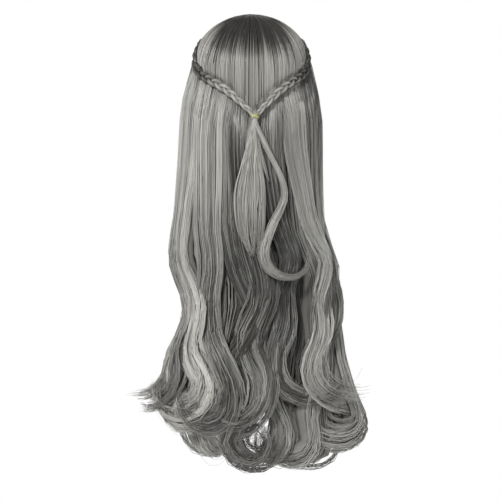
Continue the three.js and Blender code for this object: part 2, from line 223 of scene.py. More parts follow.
# Crown hair: short sleek lengths combed from a centre parting down over the cap.
# Smooth synthetic fibre, each lock sewn in at the parting or a weft.
# The ends are pinned under the two braids.
# The dark zone over the top of the crown is painted shade, and the light very top is a painted rim light.
CROWN_LIFT = 0.0124
CROWN_LAYER = 0.0045
CROWN_STRANDS = 1700
CROWN_RINGS = 12
CROWN_CORES = 90
CROWN_TONE = 0.5
CROWN_TONE_STRAY = 0.19
CROWN_DROP = 0.005
CROWN_BIAS = 1.5
CROWN_TAPER = (0.9, 1.0)
CROWN_SPREAD = (0.8, 1.5)
CORE_SINK = 0.003
CORE_RIDGE = 0.35
CORE_HALF_WIDTHS = (0.003, 0.0055)
PARTING_BACK = -9.0
PARTING_FRONT = 72.0
PARTING_STRAY = 1.6
PARTING_HALF_GAP = 0.010
PARTING_BLEND = 25.0
PARTING_DIP = 0.0030
PARTING_SHARE = 0.12
PARTED_FROM = 5.0
PARTED_OVER = 20.0
BACK_FAN = 55.0
FAN_MARGIN = 2.0
END_DIP = 0.0035
END_FROM = 0.86
END_OVER = 0.14
OFF_STEP = 0.01
BESIDE_FROM = 40.0
BESIDE_OVER = 30.0
BESIDE_SHADE_LIFT = 0.3
# Where the painted shade falls on the crown, and the painted rim light at its very top.
SHADE_MARK_ARC = 130.0
TOP_RIM_LIGHT_MARK = 0.47
TOP_RIM_POLAR = 26.0
TOP_RIM_OVER = 70.0
FIRST_MARK = 0.01
LAST_MARK = 0.99
TEMPLE_TURN = 150.0
TIE_Z = -0.140
BRAID_COURSE = np.array([
    # turn from the centre back in degrees, height
    (0, -0.139),
    (13, -0.1155),
    (32, -0.0945),
    (54, -0.0785),
    (67, -0.064),
    (76, -0.043),
    (90, -0.031),
    (150, -0.028),
])
NECK_ARC = math.degrees(1.0)
COLUMNS = 64
CORE_COLUMNS = 4
LIGHTEST = 0.999
RIDGE = 0.8
FIBRE = 0.00055
FIBRE_TONE_STRAY = 0.10
STREAK_SHARE = 0.12
STREAK_SCALE = (3.0, 5.0, 1.0)
ENDS_FROM = 0.55
ENDS_SHARE = 0.12
SLEEKEST = 0.30
ROUGHEST = 0.46
# How dark the hidden cores are drawn: painted shade between the strands.
CORE_PAINTED_SHADE = 0.35
CORNER_MARKS = (0.15, 0.85, 0.5)


def unit(vectors):
    """Vectors brought to length one."""
    return vectors / np.maximum(np.linalg.norm(vectors, axis=-1, keepdims=True), 1e-12)


def ease(share):
    """Smooth step from 0 to 1."""
    share = np.clip(share, 0.0, 1.0)
    return share * share * (3 - 2 * share)


def smooth(keys, values, at):
    """Values eased between falling keys; one row of stops for each strand."""
    slopes = np.empty_like(values)
    slopes[:, 1:-1] = (values[:, 2:] - values[:, :-2]) / (keys[:, 2:] - keys[:, :-2])
    slopes[:, 0] = (values[:, 1] - values[:, 0]) / (keys[:, 1] - keys[:, 0])
    slopes[:, -1] = (values[:, -1] - values[:, -2]) / (keys[:, -1] - keys[:, -2])
    stop = np.clip((at[:, :, None] <= keys[:, None, :]).sum(axis=2) - 1, 0, keys.shape[1] - 2)
    low_key = np.take_along_axis(keys, stop, axis=1)
    high_key = np.take_along_axis(keys, stop + 1, axis=1)
    low = np.take_along_axis(values, stop, axis=1)
    high = np.take_along_axis(values, stop + 1, axis=1)
    low_slope = np.take_along_axis(slopes, stop, axis=1)
    high_slope = np.take_along_axis(slopes, stop + 1, axis=1)
    step = high_key - low_key
    s = np.clip((at - low_key) / step, 0, 1)
    start = (2 * s ** 3 - 3 * s ** 2 + 1) * low + (s ** 3 - 2 * s ** 2 + s) * step * low_slope
    finish = (3 * s ** 2 - 2 * s ** 3) * high + (s ** 3 - s ** 2) * step * high_slope
    return start + finish


def braid_line(turn):
    """Height of the braid round the head: low at the tie, steep at the sides, then level."""
    side = np.abs(np.asarray(turn, dtype=float))
    keys, heights = BRAID_COURSE.T
    return smooth(-keys[None], heights[None], -side.reshape(1, -1)).reshape(side.shape)


def strands(paths, off, half_width, column, ridge=RIDGE, along_mark=None):
    """Closed three-sided strands along paths, ridge outward; u runs across a strand and v along it."""
    count, rings, _ = paths.shape
    along = unit(np.gradient(paths, axis=1))
    across = unit(np.cross(off, along))
    outward = np.cross(along, across)
    half = half_width[..., None]
    left = paths - across * half
    right = paths + across * half
    top = paths + outward * half * ridge
    points = np.stack([left, right, top], axis=2).reshape(-1, 3)
    index = np.arange(count * rings * 3).reshape(count, rings, 3)
    sides = []
    for a, b in ((0, 1), (1, 2), (2, 0)):
        corner = [index[:, :-1, a], index[:, :-1, b], index[:, 1:, b], index[:, 1:, a]]
        sides.append(np.stack(corner, axis=-1).reshape(-1, 4))
    caps = np.concatenate([index[:, 0, ::-1], index[:, -1, :]])
    tone = np.broadcast_to(column.reshape(count, -1, 1), (count, rings, 1))
    u = (tone + np.array(CORNER_MARKS)) / COLUMNS
    v = np.linspace(FIRST_MARK, LAST_MARK, rings)[None, :] if along_mark is None else along_mark
    marks = np.stack(np.broadcast_arrays(u, v[..., None]), axis=-1).reshape(-1, 2)
    return points, np.concatenate(sides), caps, marks


def hair_piece(name, bundles, material):
    """One mesh from several bundles of strands."""
    shift = np.cumsum([0] + [len(bundle[0]) for bundle in bundles])
    points = np.concatenate([bundle[0] for bundle in bundles])
    quads = np.concatenate([bundle[1] + start for bundle, start in zip(bundles, shift)])
    caps = np.concatenate([bundle[2] + start for bundle, start in zip(bundles, shift)])
    marks = np.concatenate([bundle[3] for bundle in bundles])
    corners = np.concatenate([quads.ravel(), caps.ravel()]).astype(np.int32)
    starts = np.concatenate([np.arange(len(quads)) * 4, len(quads) * 4 + np.arange(len(caps)) * 3])
    mesh = bpy.data.meshes.new(name)
    mesh.vertices.add(len(points))
    mesh.vertices.foreach_set("co", points.ravel().astype(np.float32))
    mesh.loops.add(len(corners))
    mesh.loops.foreach_set("vertex_index", corners)
    mesh.polygons.add(len(starts))
    mesh.polygons.foreach_set("loop_start", starts.astype(np.int32))
    mesh.polygons.foreach_set("use_smooth", np.ones(len(starts), dtype=bool))
    layer = mesh.uv_layers.new(name="OFBake")
    layer.data.foreach_set("uv", marks[corners].ravel().astype(np.float32))
    mesh.update(calc_edges=True)
    mesh.validate()
    mesh.materials.append(material)
    piece = bpy.data.objects.new(name, mesh)
    bpy.context.collection.objects.link(piece)
    return piece


def hair_material(name, dark, light, ends, painted_root_shade, shine):
    """Dyed fibre: each strand its own tone, finer streaks along it, painted shade at the roots and warmer
    ends.

    The painted root shade holds where it starts and ends along the hair, its raggedness and its depth.
    Hidden cores take the last columns and are darkened as painted shade between the strands.
    """
    shade_from, shade_to, raggedness, shade_depth = painted_root_shade
    made = bpy.data.materials.new(name)
    made.use_nodes = True
    nodes = made.node_tree.nodes
    link = made.node_tree.links.new
    shader = nodes["Principled BSDF"]
    shader.inputs["Specular IOR Level"].default_value = shine
    shader.inputs["Anisotropic"].default_value = 0.6
    marks = nodes.new("ShaderNodeUVMap")
    marks.uv_map = "OFBake"
    split = nodes.new("ShaderNodeSeparateXYZ")
    link(marks.outputs["UV"], split.inputs["Vector"])
    place = nodes.new("ShaderNodeMath")
    place.operation = "MULTIPLY"
    place.inputs[1].default_value = COLUMNS
    link(split.outputs["X"], place.inputs[0])
    column = nodes.new("ShaderNodeMath")
    column.operation = "FLOOR"
    link(place.outputs["Value"], column.inputs[0])
    tone = nodes.new("ShaderNodeMath")
    tone.operation = "DIVIDE"
    tone.inputs[1].default_value = COLUMNS - CORE_COLUMNS
    link(column.outputs["Value"], tone.inputs[0])
    spot = nodes.new("ShaderNodeCombineXYZ")
    link(place.outputs["Value"], spot.inputs["X"])
    link(split.outputs["Y"], spot.inputs["Y"])
    stretch = nodes.new("ShaderNodeMapping")
    stretch.inputs["Scale"].default_value = STREAK_SCALE
    link(spot.outputs["Vector"], stretch.inputs["Vector"])
    streak = nodes.new("ShaderNodeTexNoise")
    streak.inputs["Scale"].default_value = 1.0
    streak.inputs["Detail"].default_value = 3.0
    link(stretch.outputs["Vector"], streak.inputs["Vector"])
    blend = nodes.new("ShaderNodeMix")
    blend.data_type = "FLOAT"
    blend.inputs["Factor"].default_value = STREAK_SHARE
    link(tone.outputs["Value"], blend.inputs["A"])
    link(streak.outputs["Fac"], blend.inputs["B"])
    fibre = nodes.new("ShaderNodeMix")
    fibre.data_type = "RGBA"
    fibre.inputs["A"].default_value = (*dark, 1)
    fibre.inputs["B"].default_value = (*light, 1)
    link(blend.outputs["Result"], fibre.inputs["Factor"])
    tip = nodes.new("ShaderNodeMapRange")
    tip.interpolation_type = "SMOOTHSTEP"
    tip.inputs["From Min"].default_value = ENDS_FROM
    tip.inputs["To Max"].default_value = ENDS_SHARE
    link(split.outputs["Y"], tip.inputs["Value"])
    warmed = nodes.new("ShaderNodeMix")
    warmed.data_type = "RGBA"
    warmed.inputs["B"].default_value = (*ends, 1)
    link(tip.outputs["Result"], warmed.inputs["Factor"])
    link(fibre.outputs["Result"], warmed.inputs["A"])
    # Painted shade at the roots, its edge made ragged by each strand's tone.
    ragged = nodes.new("ShaderNodeMath")
    ragged.operation = "MULTIPLY_ADD"
    ragged.inputs[1].default_value = raggedness
    link(tone.outputs["Value"], ragged.inputs[0])
    link(split.outputs["Y"], ragged.inputs[2])
    root = nodes.new("ShaderNodeMapRange")
    root.interpolation_type = "SMOOTHSTEP"
    root.inputs["From Min"].default_value = shade_from
    root.inputs["From Max"].default_value = shade_to
    root.inputs["To Min"].default_value = shade_depth
    link(ragged.outputs["Value"], root.inputs["Value"])
    # Painted shade on the hidden cores that show between the strands.
    core = nodes.new("ShaderNodeMath")
    core.operation = "LESS_THAN"
    core.inputs[1].default_value = COLUMNS - CORE_COLUMNS
    link(column.outputs["Value"], core.inputs[0])
    cores_in_painted_shade = nodes.new("ShaderNodeMapRange")
    cores_in_painted_shade.inputs["To Min"].default_value = CORE_PAINTED_SHADE
    link(core.outputs["Value"], cores_in_painted_shade.inputs["Value"])
    depth = nodes.new("ShaderNodeMath")
    depth.operation = "MULTIPLY"
    link(root.outputs["Result"], depth.inputs[0])
    link(cores_in_painted_shade.outputs["Result"], depth.inputs[1])
    shaded = nodes.new("ShaderNodeVectorMath")
    shaded.operation = "SCALE"
    link(warmed.outputs["Result"], shaded.inputs["Vector"])
    link(depth.outputs["Value"], shaded.inputs["Scale"])
    link(shaded.outputs["Vector"], shader.inputs["Base Color"])
    gloss = nodes.new("ShaderNodeMapRange")
    gloss.inputs["To Min"].default_value = SLEEKEST
    gloss.inputs["To Max"].default_value = ROUGHEST
    link(streak.outputs["Fac"], gloss.inputs["Value"])
    link(gloss.outputs["Result"], shader.inputs["Roughness"])
    grain = nodes.new("ShaderNodeTangent")
    grain.direction_type = "UV_MAP"
    grain.uv_map = "OFBake"
    link(grain.outputs["Tangent"], shader.inputs["Tangent"])
    return made


def sphere_way(turn, polar):
    """Unit direction of a place on the head, polar in degrees down from the crown."""
    low = np.radians(polar)
    angle = np.radians(turn)
    return np.stack(
        [np.sin(low) * np.sin(angle), -np.sin(low) * np.cos(angle), np.cos(low)], axis=-1)


def crown_paths(end_turn, start_polar, end_drop, lift, rings):
    """Lines combed over the head from the parting to just under the braids, each with a mark that places
    painted shade.
    """
    end_reach = reach_of(braid_line(end_turn) - end_drop, CROWN_LIFT)
    end_polar = np.where(end_reach < 1, end_reach * 90, 90 + (end_reach - 1) * NECK_ARC)
    side = np.clip(end_turn / PARTING_BLEND, -1, 1)
    start = sphere_way(np.full_like(end_turn, 180.0), start_polar)
    start[:, 0] += side * PARTING_HALF_GAP
    end = sphere_way(end_turn, end_polar)
    start = unit(start)
    angle = np.arccos(np.clip((start * end).sum(axis=-1), -1, 1))[:, None]
    share = np.linspace(0.0, 1.0, rings)[None, :]
    first = (np.sin((1 - share) * angle) / np.sin(angle))[..., None]
    last = (np.sin(share * angle) / np.sin(angle))[..., None]
    way = unit(first * start[:, None, :] + last * end[:, None, :])
    polar = np.degrees(np.arccos(np.clip(way[..., 2], -1, 1)))
    reach = np.where(polar < 90, polar / 90, 1 + (polar - 90) / NECK_ARC)
    turn = np.degrees(np.arctan2(way[..., 0], -way[..., 1]))
    parted = ease((start_polar[:, None] - PARTED_FROM) / PARTED_OVER)
    dip = PARTING_DIP * parted * (1 - ease(share / PARTING_SHARE))
    dip = dip + END_DIP * ease((share - END_FROM) / END_OVER)
    paths = head_point(turn, reach, lift[:, None] - dip)
    above = head_point(turn, reach, lift[:, None] - dip + OFF_STEP)
    # The mark puts painted shade over the top of the head, narrower at the sides, and leaves the very top
    # light as a painted rim light.
    beside = ease((np.abs(end_turn)[:, None] - BESIDE_FROM) / BESIDE_OVER)
    shade_mark = np.maximum(polar / SHADE_MARK_ARC + BESIDE_SHADE_LIFT * beside, TOP_RIM_LIGHT_MARK + (TOP_RIM_POLAR - polar) / TOP_RIM_OVER)
    return paths, unit(above - paths), np.clip(shade_mark, FIRST_MARK, LAST_MARK)


def fan(count):
    """End places round the head and the part of the parting that each length comes from."""
    end_turn = chance.uniform(-TEMPLE_TURN - FAN_MARGIN, TEMPLE_TURN + FAN_MARGIN, count)
    forward = np.clip((np.abs(end_turn) - BACK_FAN) / (TEMPLE_TURN - BACK_FAN), 0, 1)
    start_polar = PARTING_BACK + (PARTING_FRONT - PARTING_BACK) * forward
    return end_turn, start_polar + chance.normal(0, PARTING_STRAY, count)


def columns(count, middle, stray):
    """A tone for each strand, from dark 0 to light 1 about a middle."""
    tone = np.clip(middle + chance.normal(0, 1, count) * stray, 0, LIGHTEST)
    return np.floor(tone * (COLUMNS - CORE_COLUMNS))


def columns_about(middle):
    """A tone for each strand about a middle that may change along it."""
    own = chance.normal(0, FIBRE_TONE_STRAY, (len(middle), 1))
    return np.floor(np.clip(middle + own, 0, LIGHTEST) * (COLUMNS - CORE_COLUMNS))


def core_shade_columns(count):
    """A tone for each hidden core from the last columns, which the material darkens as painted shade
    between the strands.
    """
    return COLUMNS - CORE_COLUMNS + chance.integers(0, CORE_COLUMNS, count).astype(float)


# Painted shade over the top of the crown follows each line's mark; the dark cores are painted shade between
# the strands.
crown_hair = hair_material(
    "crown_hair", dark=(0.17, 0.165, 0.15), light=(0.43, 0.42, 0.393), ends=(0.33, 0.32, 0.30),
    painted_root_shade=(0.63, 0.87, 0.34, 0.17), shine=0.5)
crown_end, crown_start = fan(CROWN_STRANDS)
crown_depth = CROWN_LIFT - CROWN_LAYER * chance.uniform(0, 1, CROWN_STRANDS) ** CROWN_BIAS
crown_drop = chance.uniform(0, CROWN_DROP, CROWN_STRANDS)
crown_lines, crown_off, crown_shade_mark = crown_paths(
    crown_end, crown_start, crown_drop, crown_depth, CROWN_RINGS)
crown_taper = np.linspace(*CROWN_TAPER, CROWN_RINGS)[None, :]
crown_size = crown_taper * FIBRE * chance.uniform(*CROWN_SPREAD, (CROWN_STRANDS, 1))
crown_column = columns(CROWN_STRANDS, CROWN_TONE, CROWN_TONE_STRAY)
crown_strands = strands(crown_lines, crown_off, crown_size, crown_column, along_mark=crown_shade_mark)

core_end = np.linspace(-TEMPLE_TURN, TEMPLE_TURN, CROWN_CORES)
core_forward = np.clip((np.abs(core_end) - BACK_FAN) / (TEMPLE_TURN - BACK_FAN), 0, 1)
core_start = PARTING_BACK + (PARTING_FRONT - PARTING_BACK) * core_forward
core_depth = np.full(CROWN_CORES, CROWN_LIFT - CROWN_LAYER - CORE_SINK)
core_drop = np.zeros(CROWN_CORES)
core_lines, core_off, core_shade_mark = crown_paths(
    core_end, core_start, core_drop, core_depth, CROWN_RINGS)
core_size = np.linspace(*CORE_HALF_WIDTHS, CROWN_RINGS)[None, :] * np.ones((CROWN_CORES, 1))
core_column = core_shade_columns(CROWN_CORES)
crown_cores = strands(core_lines, core_off, core_size, core_column, CORE_RIDGE, core_shade_mark)
crown = hair_piece("crown_hair_lengths", [crown_strands, crown_cores], crown_hair)
belongs(crown, "crown_hair", "crown_hair")

# Long hair: waved lengths falling from under the braids, one group at the back and one at each side.
# Smooth synthetic fibre set in loose waves, sewn to the wefts of the cap.
# Each lock gathers into wisps whose ends curl their own way.
# The dark inner locks, the dark hearts and the dark roots under the braids are painted shade.
CURTAIN = np.array([
    # height, sway, half width, half depth
    (-0.040, 0.000, 0.078, 0.103),
    (-0.064, 0.000, 0.084, 0.108),
    (-0.090, -0.001, 0.093, 0.110),
    (-0.130, -0.001, 0.1015, 0.111),
    (-0.220, -0.003, 0.1045, 0.110),
    (-0.300, -0.005, 0.111, 0.110),
    (-0.345, 0.003, 0.121, 0.113),
    (-0.420, 0.013, 0.119, 0.108),
    (-0.480, 0.002, 0.125, 0.110),
    (-0.530, 0.003, 0.132, 0.112),
    (-0.650, 0.000, 0.124, 0.108),
])
# Turns of each lock at five heights, the height of its flick, then its curl, section and tones; the low
# tones of the inner locks and of the sunken middle locks lower down are painted shade
LOCK_COLUMNS = (
    "root", "shoulder", "swell", "pinch", "flick", "flick_z",
    "curl", "radius", "lean", "wide", "thick", "out", "flare",
    "tone", "upper_tone_and_shade", "mid_tone_and_shade", "end_tone_and_shade",
)
BACK_LOCKS = (
    (-58, -58, -61, -54, -40, -0.500, -200, 0.034, 0, 0.046, 0.020, 0.002, 0, 0.60, 0.60, 0.60, 0.85),
    (-38, -38, -33, -41, -17, -0.512, -225, 0.038, 0, 0.046, 0.020, 0, 0, 0.54, 0.50, 0.22, 0.18),
    (-20, -20, -12, -6, -13, -0.590, 245, 0.028, 0, 0.042, 0.020, -0.004, 0, 0.52, 0.42, 0.00, 0.18),
    (-3, -4, 3, -1, 5, -0.544, -128, 0.034, 0, 0.044, 0.018, 0, 0, 0.48, 0.10, 0.04, 0.36),
    (16, 16, 28, 13, 20, -0.500, 112, 0.052, 0, 0.038, 0.018, -0.002, 0, 0.52, 0.16, 0.00, 0.28),
    (28, 26, 24, 23, 34, -0.604, -260, 0.034, -80, 0.092, 0.030, -0.018, 0, 0.52, 0.16, 0.00, 0.46),
    (-46, -46, -48, -48, -49, -0.598, 265, 0.031, -78, 0.088, 0.030, -0.018, 0, 0.06, 0.10, 0.25, 0.78),
    (-12, -10, -14, -18, -24, -0.560, 170, 0.030, -40, 0.064, 0.024, -0.022, 0, 0.04, 0.00, 0.00, 0.16),
)
LEFT_LOCKS = (
    (-76, -80, -80, -72, -62, -0.496, -112, 0.036, 30, 0.046, 0.024, 0.002, 0.004, 0.60, 0.60, 0.48, 0.32),
    (-70, -74, -76, -76, -78, -0.507, 84, 0.032, 84, 0.040, 0.022, -0.002, 0.009, 0.50, 0.50, 0.36, 0.48),
    (-94, -94, -90, -80, -66, -0.553, 215, 0.034, -40, 0.058, 0.030, -0.002, 0.012, 0.45, 0.42, 0.54, 1.00),
    (-112, -110, -104, -108, -100, -0.526, 170, 0.034, 0, 0.048, 0.020, 0, 0, 0.45, 0.40, 0.35, 0.40),
    (-134, -126, -118, -122, -114, -0.520, -190, 0.032, 0, 0.044, 0.018, 0, 0, 0.50, 0.48, 0.45, 0.45),
)
RIGHT_LOCKS = (
    (38, 41, 59, 48, 46, -0.474, 96, 0.054, 36, 0.042, 0.020, 0.006, 0, 0.64, 0.44, 0.62, 0.74),
    (62, 66, 74, 80, 76, -0.474, 72, 0.028, 85, 0.044, 0.026, 0.002, 0, 0.54, 0.54, 0.62, 0.44),
    (54, 56, 60, 58, 50, -0.598, -235, 0.041, -84, 0.080, 0.034, 0, 0.006, 0.24, 0.12, 0.10, 0.42),
    (82, 86, 90, 88, 76, -0.560, -215, 0.044, -65, 0.066, 0.036, 0, 0.034, 0.50, 0.50, 0.60, 0.62),
    (104, 106, 108, 104, 106, -0.550, -190, 0.034, 0, 0.048, 0.020, 0, 0, 0.45, 0.40, 0.35, 0.40),
    (130, 124, 118, 122, 114, -0.520, 190, 0.032, 0, 0.044, 0.018, 0, 0, 0.50, 0.48, 0.45, 0.45),
)
TONE_ALONG = (0.03, 0.16, 0.46, 0.85)
FALLS = (
    # name, locks, lengths to a lock, solid it stands for
    ("back_hair_lengths", BACK_LOCKS, 170, "back_hair"),
    ("left_hair_lengths", LEFT_LOCKS, 250, "side_hair_left"),
    ("right_hair_lengths", RIGHT_LOCKS, 225, "side_hair_right"),
)
SECTION_ALONG = (0.0, 0.25, 0.6, 0.85, 1.0)
SECTION_WIDE = (1.2, 1.1, 0.9, 0.95, 0.65)
SECTION_THICK = (0.6, 0.7, 1.0, 1.0, 0.6)
SECTION_ROUND = (0.1, 0.2, 0.8, 1.0, 1.0)
WAVE = 0.009
WAVE_LENGTH = 0.135
WAVE_FROM = 0.3
WAVE_OVER = 0.4
WAVE_DEPTH = 0.5
WAVE_LAG = 1.2
CALM = 0.6
CALM_FROM = 0.8
CALM_OVER = 0.2
TAPER_ALONG = (0, 0.1, 0.5, 0.8, 1)
TAPER = (0.8, 1, 1.2, 1.3, 0.3)
WISPS = 12
OUTER_WISPS = 9
WISP_TURN = 0.10
WISP_RING = 0.10
WISP_TONE = 0.11
WISP_CURL = 0.08
WISP_RADIUS = 0.045
WISP_LEAN = 7
WISP_DROP = 0.003
WISP_PHASE = 0.25
WISP_WANDER = 2.0
WISP_GATHER = 0.8
WISP_SHORTEST = 0.96
GATHER_FROM = 0.3
GATHER_OVER = 0.7
RING_OVER = 0.6
OWN_TURN = 0.30
OWN_RING = 0.05
OWN_CURL = 0.04
OWN_RADIUS = 0.03
OWN_DROP = 0.002
OWN_PHASE = 0.10
OWN_SHORTEST = 0.97
OWN_SPREAD = (0.7, 1.5)
SKIN_RING = 0.96
TURN_STRAY = (
    # stop down the lock, degrees that a length strays there
    ("root", 0.5),
    ("shoulder", 0.4),
    ("swell", 0.4),
    ("pinch", 0.5),
    ("flick", 0.8),
)
TIGHTEST_CURL = 0.010
SHOULDER_Z = -0.180
SWELL_Z = -0.340
PINCH_Z = -0.445
ROOT_TUCK = 0.007
HEAD_ROUND = 0.105
ROUND_FROM = 0.45
ROUND_OVER = 0.25
ROOT_EASE = 0.045
ROOT_LIFT = 0.0062
SIDE_LIFT = 0.005
SIDE_FROM = 45.0
SIDE_OVER = 30.0
ROOT_LAYER = 0.003
FALL_RINGS = 24
HEART_RINGS = 26
HEART_SIDES = 22
# How dark each lock's heart is drawn: painted shade inside the lock.
HEART_PAINTED_SHADE = 0.50
HEART_START = 0.01
HEART_END = 0.92
HEART_ROOT = 0.74
HEART_SWELL = 0.10
HEART_SWELL_OVER = 0.5
HEART_STRAY = 0.05
HEART_FADE_FROM = 0.84
HEART_FADE = 0.72
LOOSE_SHARE = 0.04
LOOSE_STRAY = 2.4
STRAY = 0.012
STRAY_MARGIN = 0.004
PROBE = 0.002


def curtain_point(turn, out, z):
    """A point on the loose sheet of hair that hangs round the head and back."""
    rows = np.broadcast_to(CURTAIN[:, 0], (z.shape[0], len(CURTAIN)))
    sway, wide, deep = (
        smooth(rows, np.broadcast_to(CURTAIN[:, i], rows.shape), z) for i in (1, 2, 3))
    angle = np.radians(turn)
    x = sway + (wide + out) * np.sin(angle)
    y = -(deep + out) * np.cos(angle)
    return np.stack([x, y, z], axis=-1)


def hang(heights, turns, outs, curl, radius, lean, share):
    """Lines that follow stops down the curtain and then curl, with their ways across and off it."""
    top = heights[:, :1]
    bottom = heights[:, -1:]
    straight = top - bottom
    sweep = np.abs(np.radians(curl))[:, None] * radius[:, None]
    travel = share * (straight + sweep)
    z = top - np.minimum(travel, straight)
    turn = smooth(heights, turns, z)
    paths = curtain_point(turn, smooth(heights, outs, z), z)
    before = np.minimum(z + PROBE, top)
    above = curtain_point(smooth(heights, turns, before), smooth(heights, outs, before), before)
    after = np.maximum(z - PROBE, bottom)
    below = curtain_point(smooth(heights, turns, after), smooth(heights, outs, after), after)
    along = unit(below - above)
    angle = np.radians(turn)
    off = np.stack([np.sin(angle), -np.cos(angle), np.zeros_like(angle)], axis=-1)
    across = unit(np.cross(off, along))
    off = np.cross(along, across)
    phi = (np.maximum(travel - straight, 0) / radius[:, None])[..., None]
    tilt = np.radians(lean)[:, None, None]
    side = across * np.sign(curl)[:, None, None] * np.cos(tilt) + off * np.sin(tilt)
    reach = radius[:, None, None]
    paths = paths + reach * (np.sin(phi) * along + (1 - np.cos(phi)) * side)
    swung = []
    for axis in (across, off):
        lean_in = (axis * side).sum(axis=-1, keepdims=True)
        swung.append(axis + (np.cos(phi) - 1) * lean_in * side - np.sin(phi) * lean_in * along)
    return paths, swung[0], swung[1]


def wound(paths, tone):
    """A closed solid skinned over rings of points, one for each lock."""
    count, rings, sides, _ = paths.shape
    points = paths.reshape(-1, 3)
    index = np.arange(len(points)).reshape(count, rings, sides)
    beside = np.roll(index, -1, axis=2)
    corner = [index[:, :-1], beside[:, :-1], beside[:, 1:], index[:, 1:]]
    quads = np.stack(corner, axis=-1).reshape(-1, 4)
    ends = np.concatenate([paths[:, 0].mean(axis=1), paths[:, -1].mean(axis=1)])
    first = (len(points) + np.arange(count))[:, None] + np.zeros((1, sides), dtype=int)
    last = first + count
    roots = np.stack([first, beside[:, 0], index[:, 0]], axis=-1).reshape(-1, 3)
    tips = np.stack([last, index[:, -1], beside[:, -1]], axis=-1).reshape(-1, 3)
    u = (tone + 0.5) / COLUMNS
    v = np.linspace(FIRST_MARK, LAST_MARK, rings)[None, :, None] * np.ones((count, 1, sides))
    marks = np.stack([u, v], axis=-1).reshape(count, -1, 2)
    marks = np.concatenate([marks.reshape(-1, 2), marks[:, 0], marks[:, -1]])
    return np.concatenate([points, ends]), quads, np.concatenate([roots, tips]), marks


def flattened(value, bulge):
    """A circle's cosine with its two faces pressed flat where the bulge is small."""
    return np.sign(value) * (1 - bulge * (1 - np.abs(value)))


def in_lock(rows, share, angle, ring):
    """Points round the section of each lock: angle 0 faces out, ring 1 lies on its skin."""
    own_turn = rows["root"] + np.degrees(rows["wide"] / 2 * np.sin(angle[:, 0]) / CURTAIN[0, 2])
    root_z = braid_line(own_turn) + ROOT_TUCK
    levels = [np.full_like(root_z, z) for z in (SHOULDER_Z, SWELL_Z, PINCH_Z)]
    heights = np.stack([root_z, *levels, rows["flick_z"]], axis=1)
    turns = np.stack([rows[name] for name, _ in TURN_STRAY], axis=1)
    out = rows["out"]
    outs = np.stack([0 * out, np.minimum(0, out), out, out, out + rows["flare"]], axis=1)
    curl = (rows["curl"], rows["radius"], rows["lean"])
    paths, across, off = hang(heights, turns, outs, *curl, share)
    wide = rows["wide"][:, None] / 2 * np.interp(share, SECTION_ALONG, SECTION_WIDE)
    thick = rows["thick"][:, None] / 2 * np.interp(share, SECTION_ALONG, SECTION_THICK)
    bulge = np.interp(share, SECTION_ALONG, SECTION_ROUND)
    calmed = 1 - CALM * ease((share - CALM_FROM) / CALM_OVER)
    wave = WAVE * ease((share - WAVE_FROM) / WAVE_OVER) * calmed
    swing = 2 * np.pi * paths[..., 2] / WAVE_LENGTH + rows["phase"][:, None]
    shift = wide * ring * np.sin(angle) + wave * np.sin(swing)
    facing = ring * flattened(np.cos(angle), bulge)
    push = thick * (facing - 1) + WAVE_DEPTH * wave * (np.sin(swing + WAVE_LAG) - 1)
    wrapped = 1 - ease((share - ROUND_FROM) / ROUND_OVER)
    push = push - shift ** 2 / (2 * HEAD_ROUND) * wrapped
    points = paths + across * shift[..., None] + off * push[..., None]
    rooted = 1 - ease((root_z[:, None] - points[..., 2]) / ROOT_EASE)
    beside = SIDE_LIFT * ease((np.abs(own_turn) - SIDE_FROM) / SIDE_OVER)[:, None]
    lift = ROOT_LIFT + beside + ROOT_LAYER * facing
    on_head = head_point(own_turn[:, None], reach_of(points[..., 2], lift), lift)
    points = points + (on_head - points) * rooted[..., None]
    return points, unit(across * np.sin(angle)[..., None] + off * np.cos(angle)[..., None])


def kept_in(points):
    """Stray hairs eased back so that none reaches far past the body of hair."""
    low = np.array(cad_box[0]) - STRAY_MARGIN
    high = np.array(cad_box[1]) + STRAY_MARGIN
    over = np.maximum(points - high, 0)
    under = np.maximum(low - points, 0)
    points = np.clip(points, low, high)
    return points + STRAY * np.tanh(over / STRAY) - STRAY * np.tanh(under / STRAY)


def picked(rows, which):
    """The rows of some locks, one for each length."""
    return {name: values[which] for name, values in rows.items()}


def tone_and_shade_of(rows, share):
    """The tone of each lock, which changes from root to tip, with painted shade darkening the inner and
    sunken locks.
    """
    tone = rows["tone"][:, None] * np.ones_like(share)
    names = LOCK_COLUMNS[-4:]
    for stage in (1, 2, 3):
        change = (rows[names[stage]] - rows[names[stage - 1]])[:, None]
        before, after = TONE_ALONG[stage - 1], TONE_ALONG[stage]
        tone = tone + change * ease((share - before) / (after - before))
    return tone


def spaced(count):
    """Places spread evenly from -1 to 1, each in the middle of its own part."""
    return (np.arange(count) + 0.5) / count * 2 - 1


def lock_rows(locks):
    """A table of locks as named columns."""
    return dict(zip(LOCK_COLUMNS, np.array(locks, dtype=float).T))
